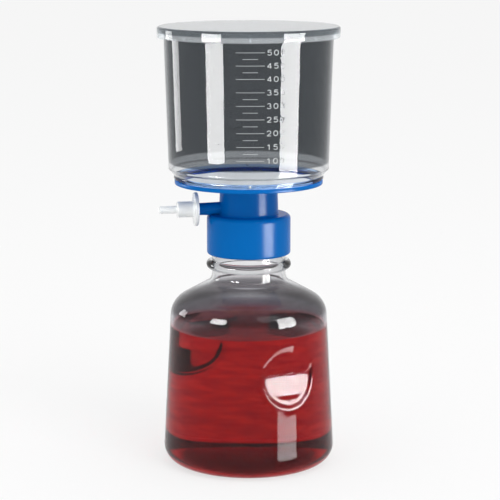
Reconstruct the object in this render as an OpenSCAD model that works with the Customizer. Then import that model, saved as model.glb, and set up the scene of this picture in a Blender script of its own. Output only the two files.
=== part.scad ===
// Disposable vacuum filtration unit: a lidded, graduated upper chamber is joined
// to a one-piece adapter that screws on a receiver bottle. The origin is on the
// axis, in the plane that the bottle stands on, and the side arm points along -X.

/* [Receiver bottle] */
// Radius of the body just above the heel
bottle_base_r = 50; // [46:0.1:62]
// Radius of the body where the shoulder starts
bottle_top_r = 45.8; // [38:0.1:60]
// Height of the tapered wall, up to the start of the shoulder
bottle_wall_h = 87.3; // [70:0.1:130]
// Thickness of the walls, the floor and the neck
bottle_wall = 1.6; // [1:0.1:2.4]
// Radius of the heel between the wall and the foot
heel_r = 10; // [5:0.1:14]
// Width of the ring that the bottle stands on
foot_w = 3.5; // [2:0.1:8]
// Height that the middle of the floor is pushed up
push_up = 3; // [1:0.1:8]
// Radius of the round between the wall and the shoulder
shoulder_r = 13.5; // [6:0.1:18]
// Slope of the shoulder below the horizontal, in degrees
shoulder_slope = 29; // [15:1:40]
// Radius of the fillet between the shoulder and the neck
neck_fillet_r = 5; // [2:0.1:8]
// Outer radius of the neck between its threads
neck_r = 21.5; // [17:0.1:26]
// Length of the neck, from the shoulder to the rim of the mouth
neck_h = 34.4; // [33:0.1:45]
// Radius of the round bead under the thread
bead_r = 2.75; // [1.5:0.05:3.5]
// How far the bead stands out of the neck
bead_out = 3.2; // [1:0.1:4]
// Distance of the bead's middle below the rim of the mouth
bead_drop = 25.5; // [22:0.1:30]

/* [Grip recesses] */
// Radius of the ball that shapes each grip recess
grip_ball_r = 28.5; // [24:0.1:34]
// Depth that the grip's ball would reach into the wall
grip_depth = 8.5; // [7:0.1:11]
// Depth of the level edge where the grip's two flats meet
grip_flat_depth = 4.5; // [3.5:0.1:5.5]
// Distance of the recesses' middle below the start of the shoulder
grip_drop = 25; // [22:0.1:35]
// Direction of the first recess, in degrees; the second is opposite
grip_angle = -69; // [-180:1:180]

/* [Medium] */
// Distance of the liquid's surface below the start of the shoulder
medium_drop = 6.8; // [0:0.1:60]
// Gap between the liquid's solid and the bottle
medium_gap = 0.1; // [0.05:0.05:0.3]

/* [Screw thread] */
// Rise of the thread in one turn
thread_pitch = 4.2; // [3:0.1:6]
// Height of the bottle's thread above the neck
thread_out = 0.95; // [0.6:0.05:1.3]
// Height of the skirt's thread above its bore
thread_in = 0.9; // [0.6:0.05:1.3]
// Width of a thread at its root
thread_root_w = 1.8; // [1:0.1:2]
// Width of a thread at its crest
thread_crest_w = 0.8; // [0.4:0.1:1]
// Turns of each thread
thread_turns = 1.25; // [1:0.25:2]
// Distance of the bottle thread's upper end below the rim
thread_start = 4.85; // [3:0.05:8]
// Clear space between the bottle's thread and the skirt's bore
thread_clearance = 0.35; // [0.3:0.05:0.6]

/* [Seal] */
// Thickness of the flat seal on the bottle's rim
seal_t = 1.2; // [0.8:0.1:2]
// Width of the seal, from its hole to its edge
seal_w = 5; // [3:0.1:6]
// Space between the seal's edge and the skirt's bore
seal_clearance = 0.2; // [0.1:0.05:0.4]

/* [Adapter] */
// Space between the skirt's lower edge and the bottle's bead
skirt_gap = 3.45; // [0.5:0.05:4]
// Thickness of the skirt's wall
skirt_wall = 1.55; // [1.2:0.05:2.4]
// Thickness of the skirt's roof over the seal
skirt_roof = 2.7; // [2:0.1:4]
// Radius of the round on the skirt's upper edge
skirt_top_round = 2.6; // [1:0.1:3.5]
// Radius of the round on the skirt's lower edge
skirt_low_round = 1.4; // [0.6:0.1:1.4]
// Width of the skirt's roof outside the neck
ledge_w = 7.15; // [4:0.05:8]
// How much narrower the neck is at the plate than at the skirt
collar_draft = 0.4; // [0:0.1:1]
// Thickness of the neck's wall
collar_wall = 1.8; // [1.2:0.1:2.4]
// Height from the skirt's roof to the underside of the plate's rim
collar_h = 17.9; // [16:0.1:30]
// Thickness of the plate under the membrane's edge
plate_t = 1.5; // [1.2:0.1:2.5]
// Thickness of the lip around the chamber's foot
lip_wall = 1.2; // [0.8:0.1:2]
// Height of the lip above the plate
lip_h = 0.8; // [0.5:0.1:2]
// Drop of the drain cone from the membrane's edge to the spout
drain_drop = 2.5; // [1:0.1:3.5]
// Number of long ribs that hold the membrane up
drain_ribs = 24; // [12:2:32]
// Width of each rib
drain_rib_w = 0.8; // [0.5:0.1:1.2]
// Bore radius of the drain spout
spout_bore_r = 3; // [2:0.1:4]
// Thickness of the spout's wall
spout_wall = 1.5; // [1:0.1:2]
// Distance of the spout's tip below the bottle's rim
spout_drop = 7; // [2:0.1:15]

/* [Side arm] */
// Height of the arm's axis above the skirt's roof
arm_rise = 3.3; // [3:0.1:8]
// Bore radius of the arm
arm_bore_r = 2; // [1:0.1:2.8]
// Length of the arm from the skirt's side to its shoulder
arm_reach = 5.35; // [4:0.05:12]
// Height of the shoulder around the spigot
arm_step = 0.4; // [0.2:0.1:1]
// How much wider the arm is at the neck than at its shoulder
arm_draft = 0.4; // [0:0.1:1]
// Thickness of the wall of the spigot that holds the tubing adapter
spigot_wall = 1.1; // [0.8:0.1:2]
// Length of the spigot beyond the shoulder
spigot_l = 9.5; // [6:0.1:14]
// Length of the cotton plug in the arm
plug_l = 12; // [6:0.5:16]

/* [Tubing adapter] */
// Radial clearance of the adapter's socket on the spigot
socket_clearance = 0.05; // [0.02:0.01:0.1]
// Radius of the finger flange
finger_r = 9.75; // [7:0.05:12]
// Thickness of the finger flange
finger_t = 2.2; // [1.5:0.1:4]
// Thickness of the barrel's wall around the socket
barrel_wall = 1.45; // [1.2:0.05:3]
// Thickness of the barrel's end between the socket and the nozzle
barrel_end = 2.5; // [1.5:0.1:5]
// Outer radius of the hose nozzle
nozzle_r = 2.2; // [1.8:0.05:3.5]
// Thickness of the hose nozzle's wall
nozzle_wall = 0.9; // [0.6:0.1:1.2]
// Length of the hose nozzle
nozzle_l = 10.2; // [8:0.1:30]

/* [Membrane] */
// Radius of the filter membrane
membrane_r = 37.5; // [31:0.1:48]
// Thickness of the filter membrane
membrane_t = 0.2; // [0.1:0.05:0.5]

/* [Chamber] */
// Height of the chamber above the plate, up to its rim
chamber_h = 87.7; // [60:0.1:120]
// How much wider the wall is under the rim than at its lower corner, on the radius
chamber_flare = 2.45; // [0.5:0.05:8]
// Thickness of the wall
chamber_wall = 1.5; // [1:0.1:2.4]
// Height of the wall's lower corner above the plate
chamber_corner_h = 7.6; // [6:0.1:14]
// How far the wall's lower corner stands out of the foot's flange
corner_out = 3; // [1:0.1:6]
// Width of the weld land outside the membrane
weld_w = 4; // [2:0.1:6]
// How far the foot's flange reaches over the plate's lip
flange_over = 0.4; // [0:0.1:2]
// Height of the flange's underside above the plate
foot_flange_z = 1.6; // [1.2:0.1:3]
// Thickness of the foot's flange
foot_flange_t = 1.9; // [1:0.1:3]
// Space between the foot and the plate's lip
foot_clearance = 0.2; // [0.1:0.05:0.5]
// How far the chamber's foot overlaps the membrane's edge
clamp_overlap = 0.6; // [0.3:0.1:2]
// How far the rim stands out of the wall
rim_out = 1.75; // [1:0.05:3]
// Thickness of the rim
rim_t = 1.8; // [1:0.1:3]

/* [Graduations] */
// Clear height kept between the highest mark and the chamber's rim
scale_headroom = 4; // [1:0.1:10]
// Volume at the lowest mark, in millilitres
scale_low_ml = 100; // [100:50:150]
// Height above the plate that counts as empty
scale_zero_h = 1.6; // [0:0.1:4]
// Direction of the first scale, in degrees; the second is opposite
scale_angle = -98; // [-180:1:180]
// Half the length of a numbered mark, in degrees
mark_half_angle = 9.5; // [5:0.5:15]
// Half the length of a mark between numbers, in degrees
minor_half_angle = 5; // [2:0.5:8]
// Height of the marks' ridges above the wall
mark_out = 0.2; // [0.1:0.05:0.4]
// Width of the marks' ridges
mark_w = 0.5; // [0.3:0.05:1]

/* [Lid] */
// Thickness of the lid's top
lid_t = 1.4; // [1:0.1:2.5]
// Depth of the lid's rim below its top face
lid_h = 6.4; // [5:0.1:12]
// Thickness of the lid's rim
lid_wall = 1.2; // [0.8:0.1:2]
// Space between the lid's rim and the chamber's rim
lid_gap = 0.8; // [0.6:0.05:3]
// Radius of the round on the lid's upper edge
lid_round = 1.2; // [0.5:0.1:1.3]
// Number of centring ribs inside the lid's rim
lid_ribs = 8; // [4:1:16]
// Width of a centring rib
lid_rib_w = 1; // [0.6:0.1:2]
// Space between the centring ribs and the chamber's rim
lid_clearance = 0.3; // [0.3:0.05:0.6]

/* [Hidden] */
$fn = 96;
cut = 1;
embed = 0.4;
grip_edge_drop = 2.3;
grip_flat_slope = 0.2;
arc_step = 7.5;
thread_steps = 30;
thread_fade = 40;
ml = 1000;
major_ml = 50;
minor_ml = 25;
minor_gap_ml = 375;
thread_flank_gap = 0.2;
collar_fillet = 1;
rim_round = 0.5;
drain_edge = 0.5;
under_step = 2.4;
finger_gap = 0.2;
socket_gap = 0.3;
finger_round = 0.6;
barrel_round = 0.8;
nozzle_chamfer = 0.4;

// Points along a round of radius r about (x, z), from angle a0 to angle a1
function round_pts(x, z, r, a0, a1) =
    let (n = max(2, ceil(abs(a1 - a0) / arc_step)))
    [for (i = [0:n]) let (a = a0 + (a1 - a0) * i / n) [x + r * cos(a), z + r * sin(a)]];

// Bottle: the wall's lean, and the points where the shoulder's cone starts and meets the neck
wall_lean = atan((bottle_base_r - bottle_top_r) / (bottle_wall_h - heel_r));
cone_r = bottle_top_r - shoulder_r + shoulder_r * sin(shoulder_slope);
cone_z = bottle_wall_h + shoulder_r * cos(shoulder_slope);
neck_z = cone_z + (cone_r - neck_r) * tan(shoulder_slope);
fillet_z = neck_z + neck_fillet_r * (1 / cos(shoulder_slope) - tan(shoulder_slope));
bottle_h = neck_z + neck_h;
foot_in_r = bottle_base_r - heel_r - foot_w;
grip_z = bottle_wall_h - grip_drop;
medium_level = bottle_wall_h - medium_drop;
bead_z = bottle_h - bead_drop;
bead_half = acos((bead_r - bead_out) / bead_r);

function wall_r(z) = bottle_base_r - (z - heel_r) * tan(wall_lean);

// The floor's dome, as seen from below, lifted by the inset
function floor_pts(inset) =
    [for (i = [0:6]) [foot_in_r * i / 6, inset + push_up * (1 - pow(i / 6, 2))]];

// The bottle's outline moved inwards by an inset, from the axis up to the neck
function body_pts(inset) = concat(
    floor_pts(inset),
    round_pts(bottle_base_r - heel_r, heel_r, heel_r - inset, -90, wall_lean),
    round_pts(bottle_top_r - shoulder_r, bottle_wall_h, shoulder_r - inset,
        wall_lean, 90 - shoulder_slope),
    round_pts(neck_r + neck_fillet_r, fillet_z, neck_fillet_r + inset,
        270 - shoulder_slope, 180));

bead_pts = round_pts(neck_r + bead_out - bead_r, bead_z, bead_r, -bead_half, bead_half);

// Thread: the skirt's bore clears the bottle's thread, and the skirt's own thread
// hangs under the bottle's, a flank's gap apart
skirt_bore_r = neck_r + thread_out + thread_clearance;
thread_z = bottle_h - thread_start - thread_pitch * thread_turns;
thread_offset = (thread_root_w + thread_crest_w) / 2 + thread_flank_gap;

// Adapter heights, upwards from the seal
roof_z = bottle_h + seal_t;
skirt_top = roof_z + skirt_roof;
skirt_low = bead_z + bead_r + skirt_gap;
skirt_r = skirt_bore_r + skirt_wall;
collar_low_r = skirt_r - ledge_w;
collar_top_r = collar_low_r - collar_draft;
plate_low = skirt_top + collar_h;
plate_top = plate_low + plate_t;
arm_z = skirt_top + arm_rise;
spout_low = bottle_h - spout_drop;
spout_r = spout_bore_r + spout_wall;
drain_r = membrane_r - clamp_overlap;
foot_r = membrane_r + weld_w;
plate_r = foot_r + foot_clearance + lip_wall;

// Height of the drain cone's surface at radius r
function drain_z(r) =
    plate_top - drain_edge - drain_drop * (drain_r - r) / (drain_r - spout_bore_r);

// Side arm and tubing adapter, outwards along -X
arm_shoulder_x = skirt_r + arm_reach;
spigot_end = arm_shoulder_x + spigot_l;
spigot_r = arm_bore_r + spigot_wall;
arm_end_r = spigot_r + arm_step;
arm_root_r = arm_end_r + arm_draft;
finger_x = arm_shoulder_x + finger_gap;
barrel_x = finger_x + finger_t;
socket_r = spigot_r + socket_clearance;
socket_end = spigot_end + socket_gap;
barrel_r = socket_r + barrel_wall;
nozzle_x = socket_end + barrel_end;
nozzle_bore_r = nozzle_r - nozzle_wall;
nozzle_tip = nozzle_x + nozzle_l;

// Chamber, upwards and outwards from the plate
foot_flange_r = plate_r + flange_over;
chamber_low_r = foot_flange_r + corner_out;
chamber_top_r = chamber_low_r + chamber_flare;
corner_z = plate_top + chamber_corner_h;
flange_low = plate_top + foot_flange_z;
flange_top = flange_low + foot_flange_t;
rim_z = plate_top + chamber_h;
rim_r = chamber_top_r + rim_out;
clamp_z = plate_top + membrane_t;
chamber_lean = (chamber_top_r - chamber_low_r) / (rim_z - rim_t - corner_z);

function chamber_r(z) = chamber_low_r + (z - corner_z) * chamber_lean;

// Height at which the chamber holds a volume v: the inside is a cone, whose volume
// grows with the cube of its radius
scale_z0 = plate_top + scale_zero_h;
scale_r0 = chamber_r(scale_z0) - chamber_wall;
function level_z(v) =
    scale_z0
        + (pow(3 * chamber_lean * v * ml / PI + pow(scale_r0, 3), 1 / 3) - scale_r0) / chamber_lean;

// The volume held at height z, and the highest numbered mark that the chamber has room for
function volume_at(z) =
    PI / (3 * chamber_lean * ml) * (pow(chamber_r(z) - chamber_wall, 3) - pow(scale_r0, 3));
scale_top_ml = major_ml * floor(volume_at(rim_z - rim_t - scale_headroom) / major_ml);

// Lid
lid_bore_r = rim_r + lid_gap;
lid_r = lid_bore_r + lid_wall;
lid_top = rim_z + lid_t;
lid_low = lid_top - lid_h;

// A thread's ridge: a trapezoid carried round a right-hand helix, with both ends
// fading into the wall; root_r lies in the wall, base_r is its face and crest_r the
// free edge
module thread_ridge(root_r, base_r, crest_r, z) {
    n = ceil(thread_steps * thread_turns);
    turn = 360 * thread_turns;
    out = crest_r - base_r;
    side = sign(out);
    sections = [for (i = [0:n])
        let (
            a = turn * i / n,
            fade = min(1, 0.04 + min(a, turn - a) / thread_fade),
            r = base_r + out * fade,
            h = z + thread_pitch * a / 360,
            root_h = thread_root_w / 2,
            crest_h = thread_crest_w / 2
        )
        for (p = [[root_r, -root_h], [r, -crest_h], [r, crest_h], [root_r, root_h]])
            [p[0] * cos(a), p[0] * sin(a), h + p[1]]];
    ring = [[0, 1], [1, 2], [2, 3], [3, 0]];
    walls = [for (i = [0:n - 1])
        for (e = ring)
            for (t = [[4 * i + e[0], 4 * i + e[1], 4 * i + 4 + e[1]],
                    [4 * i + e[0], 4 * i + 4 + e[1], 4 * i + 4 + e[0]]])
                side > 0 ? t : [t[2], t[1], t[0]]];
    last = 4 * n;
    caps = [for (t = [[2, 1, 0], [3, 2, 0], [last, last + 1, last + 2], [last, last + 2, last + 3]])
        side > 0 ? t : [t[2], t[1], t[0]]];
    polyhedron(points = sections, faces = concat(walls, caps));
}

// The two bodies that press the grips into the bottle, grown by an inset: each is a half
// ball, turned about the radius that it lies on with its dome towards the bottle, and cut
// back by two flats that meet in a level edge
module grip_bodies(inset) {
    centre_x = wall_r(grip_z) - grip_depth + grip_ball_r;
    edge_x = wall_r(grip_z) - grip_flat_depth - inset;
    edge_z = grip_z - grip_edge_drop;
    reach = grip_ball_r + inset + grip_edge_drop + cut;
    for (a = [grip_angle, grip_angle + 180])
        rotate([0, 0, a])
            intersection() {
                translate([centre_x, 0, grip_z])
                    rotate([0, -90, 0])
                        rotate_extrude()
                            polygon(concat([[0, 0]],
                                round_pts(0, 0, grip_ball_r + inset, 0, 90)));
                rotate([90, 0, 0])
                    translate([0, 0, -reach])
                        linear_extrude(2 * reach)
                            polygon([[edge_x, edge_z],
                                [edge_x + grip_flat_slope * reach, edge_z - reach],
                                [centre_x + cut, edge_z - reach],
                                [centre_x + cut, edge_z + reach],
                                [edge_x + grip_flat_slope * reach, edge_z + reach]]);
            }
}

module bottle() {
    color([0.82, 0.85, 0.87, 0.5])
    union() {
        difference() {
            rotate_extrude()
                polygon(concat(body_pts(0), bead_pts, [[neck_r, bottle_h], [0, bottle_h]]));
            grip_bodies(0);
            difference() {
                rotate_extrude()
                    polygon(concat(body_pts(bottle_wall),
                        [[neck_r - bottle_wall, bottle_h + cut], [0, bottle_h + cut]]));
                grip_bodies(bottle_wall);
            }
        }
        thread_ridge(neck_r - embed, neck_r, neck_r + thread_out, thread_z);
    }
}

module medium() {
    color([0.62, 0.05, 0.1, 0.9])
    difference() {
        rotate_extrude()
            intersection() {
                polygon(concat(body_pts(bottle_wall + medium_gap), [[0, neck_z]]));
                square([bottle_base_r, medium_level]);
            }
        grip_bodies(bottle_wall + medium_gap);
    }
}

module bottle_seal() {
    color([0.9, 0.9, 0.88])
    rotate_extrude()
        translate([skirt_bore_r - seal_clearance - seal_w, bottle_h])
            square([seal_w, seal_t]);
}

// Section of the skirt, neck, plate and spout, turned as one
module adapter_section() {
    collar_bore = collar_low_r - collar_wall;
    under_z = drain_z(collar_top_r) - plate_t;
    polygon(concat(
        [[skirt_bore_r, skirt_low]],
        round_pts(skirt_r - skirt_low_round, skirt_low + skirt_low_round, skirt_low_round, -90, 0),
        round_pts(skirt_r - skirt_top_round, skirt_top - skirt_top_round, skirt_top_round, 0, 90),
        round_pts(collar_low_r + collar_fillet, skirt_top + collar_fillet, collar_fillet, 270, 180),
        [[collar_top_r, under_z], [plate_r - under_step, plate_low]],
        round_pts(plate_r - rim_round, plate_low + rim_round, rim_round, -90, 0),
        [[plate_r, plate_top + lip_h],
            [plate_r - lip_wall, plate_top + lip_h],
            [plate_r - lip_wall, plate_top],
            [drain_r, plate_top],
            [drain_r, drain_z(drain_r)],
            [spout_bore_r, drain_z(spout_bore_r)],
            [spout_bore_r, spout_low],
            [spout_r, spout_low],
            [spout_r, drain_z(spout_r) - plate_t],
            [collar_bore, drain_z(collar_bore) - plate_t],
            [collar_bore, roof_z],
            [skirt_bore_r, roof_z]]));
}

// Radial ribs on the drain cone, level with the plate: every second one is short,
// to keep the way to the spout open
module membrane_ribs() {
    ribs_in_r = 2 * spout_r;
    ribs_out_r = drain_r + embed;
    intersection() {
        rotate_extrude()
            polygon([
                [ribs_in_r, drain_z(ribs_in_r) - embed],
                [ribs_out_r, drain_z(ribs_out_r) - embed],
                [ribs_out_r, plate_top],
                [ribs_in_r, plate_top]]);
        for (i = [0:2 * drain_ribs - 1])
            rotate([0, 0, 180 * i / drain_ribs])
                translate([i % 2 == 0 ? ribs_in_r - cut : drain_r / 2, -drain_rib_w / 2, spout_low])
                    cube([drain_r, drain_rib_w, plate_top + cut - spout_low]);
    }
}

// A round bar or cone along -X, from x0 to x1, at the arm's height
module along_arm(x0, x1, r0, r1) {
    translate([-x0, 0, arm_z])
        rotate([0, -90, 0])
            cylinder(h = x1 - x0, r1 = r0, r2 = r1);
}

module adapter() {
    color([0, 0.4, 0.7])
    difference() {
        union() {
            rotate_extrude()
                adapter_section();
            membrane_ribs();
            along_arm(collar_top_r - collar_wall / 2, arm_shoulder_x, arm_root_r, arm_end_r);
            along_arm(arm_shoulder_x - cut, spigot_end, spigot_r, spigot_r);
            thread_ridge(skirt_bore_r + embed, skirt_bore_r, skirt_bore_r - thread_in,
                thread_z - thread_offset);
        }
        along_arm(collar_low_r - collar_wall - cut, spigot_end + cut, arm_bore_r, arm_bore_r);
    }
}

module vacuum_plug() {
    color([0.95, 0.95, 0.93])
    along_arm(arm_shoulder_x - plug_l / 2, arm_shoulder_x + plug_l / 2, arm_bore_r, arm_bore_r);
}

module tubing_adapter() {
    color([0.93, 0.94, 0.94])
    difference() {
        translate([0, 0, arm_z])
            rotate([0, -90, 0])
                rotate_extrude()
                    polygon(concat(
                        [[0, finger_x]],
                        round_pts(finger_r - finger_round, finger_x + finger_round,
                            finger_round, -90, 0),
                        round_pts(finger_r - finger_round, barrel_x - finger_round,
                            finger_round, 0, 90),
                        round_pts(barrel_r + finger_round, barrel_x + finger_round,
                            finger_round, 270, 180),
                        round_pts(barrel_r - barrel_round, nozzle_x - barrel_round,
                            barrel_round, 0, 90),
                        [[nozzle_r, nozzle_x],
                            [nozzle_r, nozzle_tip - nozzle_chamfer],
                            [nozzle_r - nozzle_chamfer, nozzle_tip],
                            [0, nozzle_tip]]));
        along_arm(finger_x - cut, socket_end, socket_r, socket_r);
        along_arm(finger_x, nozzle_tip + cut, nozzle_bore_r, nozzle_bore_r);
    }
}

module membrane() {
    color([0.97, 0.97, 0.96])
    translate([0, 0, plate_top])
        cylinder(h = membrane_t, r = membrane_r);
}

// One raised mark on the chamber's wall, centred on an angle
module mark(v, centre, half) {
    z = level_z(v);
    rotate([0, 0, centre - half])
        rotate_extrude(angle = 2 * half)
            translate([chamber_r(z) - embed, z - mark_w / 2])
                square([embed + mark_out, mark_w]);
}

module chamber() {
    color([0.85, 0.86, 0.88, 0.5])
    union() {
        rotate_extrude()
            polygon(concat(
                [[drain_r, clamp_z],
                    [membrane_r + foot_clearance, clamp_z],
                    [membrane_r + foot_clearance, plate_top],
                    [foot_r, plate_top],
                    [foot_r, flange_low],
                    [foot_flange_r, flange_low],
                    [foot_flange_r, flange_top],
                    [chamber_low_r, corner_z],
                    [chamber_top_r, rim_z - rim_t]],
                round_pts(rim_r - rim_round, rim_z - rim_t + rim_round, rim_round, -90, 0),
                round_pts(rim_r - rim_round, rim_z - rim_round, rim_round, 0, 90),
                [[chamber_r(rim_z) - chamber_wall, rim_z],
                    [chamber_low_r - chamber_wall, corner_z],
                    [foot_flange_r - chamber_wall, flange_top],
                    [drain_r, clamp_z + chamber_wall]]));
        for (a = [scale_angle, scale_angle + 180]) {
            for (v = [scale_low_ml:major_ml:scale_top_ml])
                mark(v, a, mark_half_angle);
            for (v = [scale_low_ml + minor_ml:major_ml:scale_top_ml])
                if (v != minor_gap_ml)
                    mark(v, a, minor_half_angle);
        }
    }
}

module lid() {
    color([0.86, 0.86, 0.9, 0.5])
    union() {
        rotate_extrude()
            polygon(concat(
                [[0, rim_z], [lid_bore_r, rim_z], [lid_bore_r, lid_low], [lid_r, lid_low]],
                round_pts(lid_r - lid_round, lid_top - lid_round, lid_round, 0, 90),
                [[0, lid_top]]));
        for (i = [0:lid_ribs - 1])
            rotate([0, 0, scale_angle + 360 * i / lid_ribs])
                translate([rim_r + lid_clearance, -lid_rib_w / 2, lid_low + rim_round])
                    cube([lid_bore_r + embed - rim_r - lid_clearance, lid_rib_w,
                        lid_h - lid_t - rim_round + embed]);
    }
}

bottle();
medium();
bottle_seal();
adapter();
vacuum_plug();
membrane();
chamber();
lid();
tubing_adapter();
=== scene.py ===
"""Looks of a vacuum filtration unit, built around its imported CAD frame: a receiver bottle with
red medium, a blue screw-on adapter, a graduated chamber with its lid, and a tubing adapter."""

import bpy
import numpy as np
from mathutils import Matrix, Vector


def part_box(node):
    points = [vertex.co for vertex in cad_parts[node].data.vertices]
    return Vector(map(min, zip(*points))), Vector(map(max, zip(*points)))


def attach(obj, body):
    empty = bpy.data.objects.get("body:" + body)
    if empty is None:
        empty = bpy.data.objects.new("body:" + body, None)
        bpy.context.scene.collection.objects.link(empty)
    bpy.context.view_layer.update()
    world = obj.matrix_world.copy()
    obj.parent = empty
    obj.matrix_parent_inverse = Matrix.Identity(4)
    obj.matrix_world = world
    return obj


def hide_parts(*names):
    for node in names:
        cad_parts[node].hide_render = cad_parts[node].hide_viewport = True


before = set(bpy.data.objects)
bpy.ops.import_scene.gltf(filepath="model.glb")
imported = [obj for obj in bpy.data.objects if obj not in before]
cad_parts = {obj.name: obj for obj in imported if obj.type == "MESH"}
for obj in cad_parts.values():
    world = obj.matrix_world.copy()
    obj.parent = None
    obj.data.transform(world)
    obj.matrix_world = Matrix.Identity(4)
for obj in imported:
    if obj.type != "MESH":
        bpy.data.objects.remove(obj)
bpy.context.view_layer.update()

# ---------------------------------------------------------------------------
# Receiver bottle. Injection-blown clear polystyrene in one piece, with a screw neck, a bead
# under the thread, a foot ring and two round grips pressed into opposite sides. Its floor and
# shoulder are painted dark, and a grey absorption darkens its thick edges: painted shade.

mm = 0.001
bottle_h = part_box("bottle")[1].z
heel_r, foot_ring_r, push_up = 10 * mm, 36.5 * mm, 3 * mm
base_r, top_r, wall_top = 50 * mm, 45.8 * mm, 87.3 * mm
shoulder_r, shoulder_slope = 13.5 * mm, 29
neck_r, neck_fillet = 21.5 * mm, 5 * mm
bottle_wall = 1.6 * mm
bead_r, bead_out, bead_z = 2.75 * mm, 3.2 * mm, bottle_h - 25.5 * mm
thread_pitch, thread_out, thread_turns = 4.2 * mm, 0.95 * mm, 1.25
thread_low = bottle_h - 4.85 * mm - thread_pitch * thread_turns
thread_foot, thread_flank, thread_fade = 0.9 * mm, 0.5 * mm, np.radians(40)
grip_angles, grip_z, grip_ball, grip_depth = (-69, 111), wall_top - 25 * mm, 28.5 * mm, 8.5 * mm
grip_edge, flat_depth, flat_slope, grip_half = grip_z - 2.3 * mm, 4.5 * mm, 0.2, 22 * mm
flat_soft, grip_soft, grip_inner = 0.8 * mm, 0.7 * mm, 30 * mm
lean = np.degrees(np.arctan((base_r - top_r) / (wall_top - heel_r)))


def line(p, q, n):
    """n points at even steps from p to q."""
    return np.linspace(p, q, n)


def arc(x, z, r, start, end, n):
    """n points on the circle of radius r about (x, z), from one angle to another in degrees."""
    a = np.radians(np.linspace(start, end, n))
    return np.stack([x + r * np.cos(a), z + r * np.sin(a)], 1)


def profile(*parts):
    """The parts joined end to end into one outline of (radius, height), without repeated points."""
    p = np.concatenate([np.atleast_2d(part) for part in parts])
    fresh = np.append(True, np.linalg.norm(np.diff(p, axis=0), axis=1) > 1e-7)
    return p[fresh]


def turned(outline, angles):
    """Grid of an outline turned about Z: x = r cos a, y = r sin a, with z as it is."""
    r, z = outline[:, :1], outline[:, 1:]
    return np.stack([r * np.cos(angles), r * np.sin(angles), z + 0 * angles], 2)


def skin(name, *grids, closed=False, sharp=40):
    """One mesh from grids of points. Each row closes on itself and joins the next row, closed
    joins the last row to the first, and a row that is a single point becomes a pole. Faces
    are turned so that the volume, the sum of a.(b x c) / 6 over the triangles, is positive."""
    points, faces = [], []
    for grid in grids:
        rows, cols = grid.shape[:2]
        ids = np.arange(rows * cols).reshape(rows, cols)
        pole = np.ptp(grid, axis=1).max(axis=1) < 1e-8
        ids[pole] = ids[pole, :1]
        a, b = (ids, np.roll(ids, -1, 0)) if closed else (ids[:-1], ids[1:])
        quads = np.stack([a, np.roll(a, -1, 1), np.roll(b, -1, 1), b], 2).reshape(-1, 4)
        tips = [quads[:, 0] == quads[:, 1], quads[:, 2] == quads[:, 3]]
        whole = quads[~(tips[0] | tips[1])]
        tris = np.concatenate([quads[tips[0]][:, [0, 2, 3]], quads[tips[1]][:, [0, 1, 2]]])
        cut = np.concatenate([whole[:, [0, 1, 2]], whole[:, [0, 2, 3]], tris])
        p = grid.reshape(-1, 3)
        volume = np.einsum("ij,ij->i", p[cut[:, 0]], np.cross(p[cut[:, 1]], p[cut[:, 2]])).sum()
        order = 1 if volume > 0 else -1
        used, renamed = np.unique(np.concatenate([whole.ravel(), tris.ravel()]), return_inverse=True)
        renamed = renamed + sum(len(q) for q in points)
        points.append(p[used])
        faces += renamed[: whole.size].reshape(-1, 4)[:, ::order].tolist()
        faces += renamed[whole.size:].reshape(-1, 3)[:, ::order].tolist()
    mesh = bpy.data.meshes.new(name)
    mesh.from_pydata(np.concatenate(points), [], faces)
    mesh.shade_smooth()
    mesh.set_sharp_from_angle(angle=np.radians(sharp))
    piece = bpy.data.objects.new(name, mesh)
    bpy.context.scene.collection.objects.link(piece)
    return piece


def wall_radius(z):
    """The straight taper of the bottle's wall."""
    return base_r - (z - heel_r) * np.tan(np.radians(lean))


def bottle_outline(inset, fine):
    """The bottle's outline from the axis up to the neck, moved inwards by inset: a domed floor, the
    heel's round, the tapered wall, the shoulder's round and cone, and the fillet to the neck.
    fine is the number of rows through the grips."""
    cone_r = top_r - shoulder_r + shoulder_r * np.sin(np.radians(shoulder_slope))
    cone_z = wall_top + shoulder_r * np.cos(np.radians(shoulder_slope))
    slope = np.tan(np.radians(shoulder_slope))
    neck_z = cone_z + (cone_r - neck_r) * slope
    fillet_z = neck_z + neck_fillet * (1 / np.cos(np.radians(shoulder_slope)) - slope)
    floor_r = np.linspace(0, foot_ring_r, 14)
    floor = np.stack([floor_r, inset + push_up * (1 - (floor_r / foot_ring_r) ** 2)], 1)
    heel = arc(base_r - heel_r, heel_r, heel_r - inset, -90, lean, 14)
    shoulder = arc(top_r - shoulder_r, wall_top, shoulder_r - inset, lean, 90 - shoulder_slope, 12)
    fillet = arc(neck_r + neck_fillet, fillet_z, neck_fillet + inset, 270 - shoulder_slope, 180, 9)
    ends = (heel[-1, 1], grip_z - grip_half, grip_z + grip_half, shoulder[0, 1])
    heights = np.concatenate([np.linspace(ends[0], ends[1], 8), np.linspace(ends[1], ends[2], fine),
                              np.linspace(ends[2], ends[3], 3)])
    share = (heights - ends[0]) / (ends[3] - ends[0])
    wall = heel[-1] + share[:, None] * (shoulder[0] - heel[-1])
    return profile(floor, heel, wall, shoulder, line(shoulder[-1], fillet[0], 6), fillet)


def lesser(a, b, soft):
    """The lesser of a and b, with the corner between them rounded over the width soft."""
    share = np.clip(0.5 + 0.5 * (a - b) / soft, 0, 1)
    return a + (b - a) * share - soft * share * (1 - share)


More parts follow.
